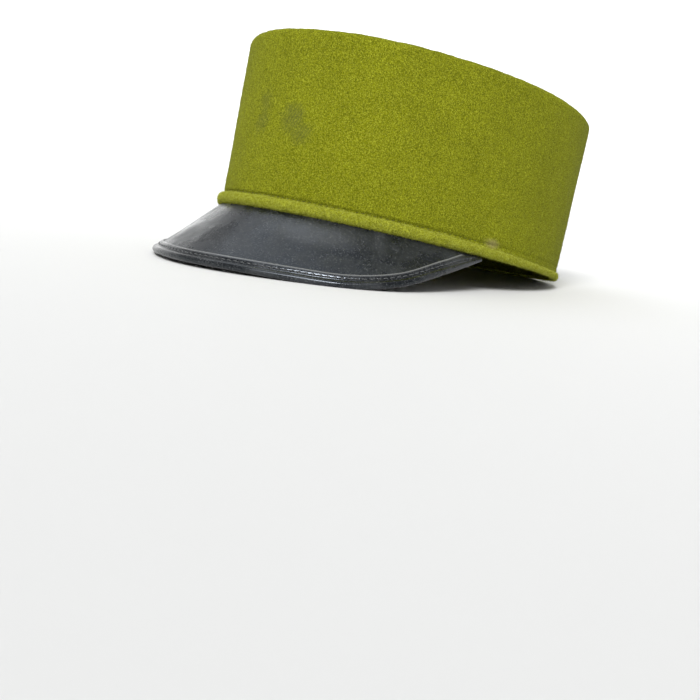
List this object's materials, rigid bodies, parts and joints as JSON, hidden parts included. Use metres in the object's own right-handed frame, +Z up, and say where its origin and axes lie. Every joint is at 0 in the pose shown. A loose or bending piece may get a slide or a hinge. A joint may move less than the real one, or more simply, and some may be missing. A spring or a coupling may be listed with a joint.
{
  "type": "kepi cap",
  "caption": "Kepi cap with a straight pillbox crown of wool cloth, a rolled hem and a sloping bound leather visor.",
  "frame": {"origin": "on the table under the middle of the cap's length and width, as it stands by itself", "axes": "+Z up, the visor points to -Y, +X is the wearer's left; the cap leans back 8.4 degrees, because it stands on its visor's rim and the back of its hem"},
  "size_m": [0.1766, 0.2542, 0.1148],
  "materials": {
    "wool_cloth": "felted wool cloth with a short nap, olive green",
    "wool_welt": "the same cloth rolled, with its nap raised, a little paler",
    "visor_leather": "black leather with a satin finish, fine grain and light dust",
    "binding_leather": "black leather binding, glossier on its bead, machine stitched"
  },
  "bodies": {
    "root": {"crown": "wool_cloth", "hem_welt": "wool_welt", "visor": "visor_leather", "visor_binding": "binding_leather"}
  },
  "joints": []
}
